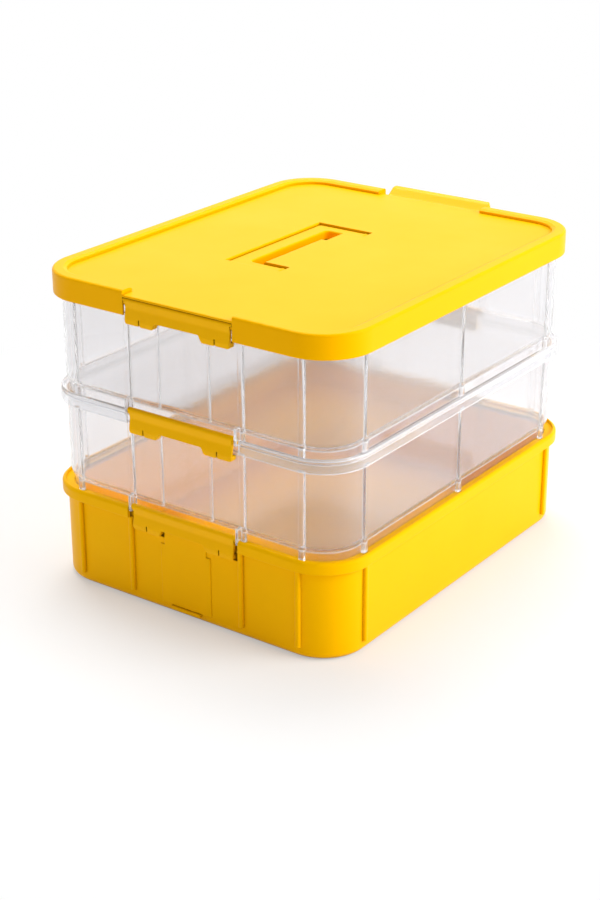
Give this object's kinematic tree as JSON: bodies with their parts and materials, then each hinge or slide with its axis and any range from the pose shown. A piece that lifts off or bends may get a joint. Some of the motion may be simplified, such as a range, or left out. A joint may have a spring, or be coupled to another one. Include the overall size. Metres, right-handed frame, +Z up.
{
  "type": "craft storage box",
  "caption": "Stacking craft storage box with an opaque base tray, clear upper trays, snap latches at the front and rear, and a lid with a fold-flat carrying handle.",
  "frame": {"origin": "centre of the base tray's flat bottom face", "axes": "+Z up, +X across the width, +Y along the depth from the front latches to the rear latches"},
  "size_m": [0.3024, 0.3859, 0.2703],
  "materials": {
    "yellow_plastic": "satin moulded",
    "clear_plastic": "clear glossy moulded"
  },
  "bodies": {
    "base_body": {"base_tray": "yellow_plastic"},
    "lower_body": {"lower_tray": "clear_plastic"},
    "upper_body": {"upper_tray": "clear_plastic"},
    "lid_body": {"lid": "yellow_plastic"},
    "handle_body": {"carry_handle": "yellow_plastic"},
    "lower_latch_front_body": {"lower_latch_front": "yellow_plastic"},
    "lower_latch_rear_body": {"lower_latch_rear": "yellow_plastic"},
    "upper_latch_front_body": {"upper_latch_front": "yellow_plastic"},
    "upper_latch_rear_body": {"upper_latch_rear": "yellow_plastic"},
    "lid_latch_front_body": {"lid_latch_front": "yellow_plastic"},
    "lid_latch_rear_body": {"lid_latch_rear": "yellow_plastic"}
  },
  "joints": [
    {"name": "lower_tray_lift", "type": "slide", "parent": "base_body", "child": "lower_body", "axis": [0, 0, 1], "range_m": [0, 0.06]},
    {"name": "upper_tray_lift", "type": "slide", "parent": "lower_body", "child": "upper_body", "axis": [0, 0, 1], "range_m": [0, 0.06]},
    {"name": "lid_lift", "type": "slide", "parent": "upper_body", "child": "lid_body", "axis": [0, 0, 1], "range_m": [0, 0.06]},
    {"name": "handle_hinge", "type": "hinge", "parent": "lid_body", "child": "handle_body", "pos_m": [0.005, 0, 0.2611], "axis": [0, 1, 0], "range_deg": [0, 90]},
    {"name": "lower_latch_front_hinge", "type": "hinge", "parent": "lower_body", "child": "lower_latch_front_body", "pos_m": [0, -0.1828, 0.0851], "axis": [-1, 0, 0], "range_deg": [0, 110]},
    {"name": "lower_latch_rear_hinge", "type": "hinge", "parent": "lower_body", "child": "lower_latch_rear_body", "pos_m": [0, 0.1828, 0.0851], "axis": [1, 0, 0], "range_deg": [0, 110]},
    {"name": "upper_latch_front_hinge", "type": "hinge", "parent": "upper_body", "child": "upper_latch_front_body", "pos_m": [0, -0.1828, 0.1691], "axis": [-1, 0, 0], "range_deg": [0, 110]},
    {"name": "upper_latch_rear_hinge", "type": "hinge", "parent": "upper_body", "child": "upper_latch_rear_body", "pos_m": [0, 0.1828, 0.1691], "axis": [1, 0, 0], "range_deg": [0, 110]},
    {"name": "lid_latch_front_hinge", "type": "hinge", "parent": "lid_body", "child": "lid_latch_front_body", "pos_m": [0, -0.1828, 0.2606], "axis": [-1, 0, 0], "range_deg": [0, 110]},
    {"name": "lid_latch_rear_hinge", "type": "hinge", "parent": "lid_body", "child": "lid_latch_rear_body", "pos_m": [0, 0.1828, 0.2606], "axis": [1, 0, 0], "range_deg": [-116, 2]}
  ]
}
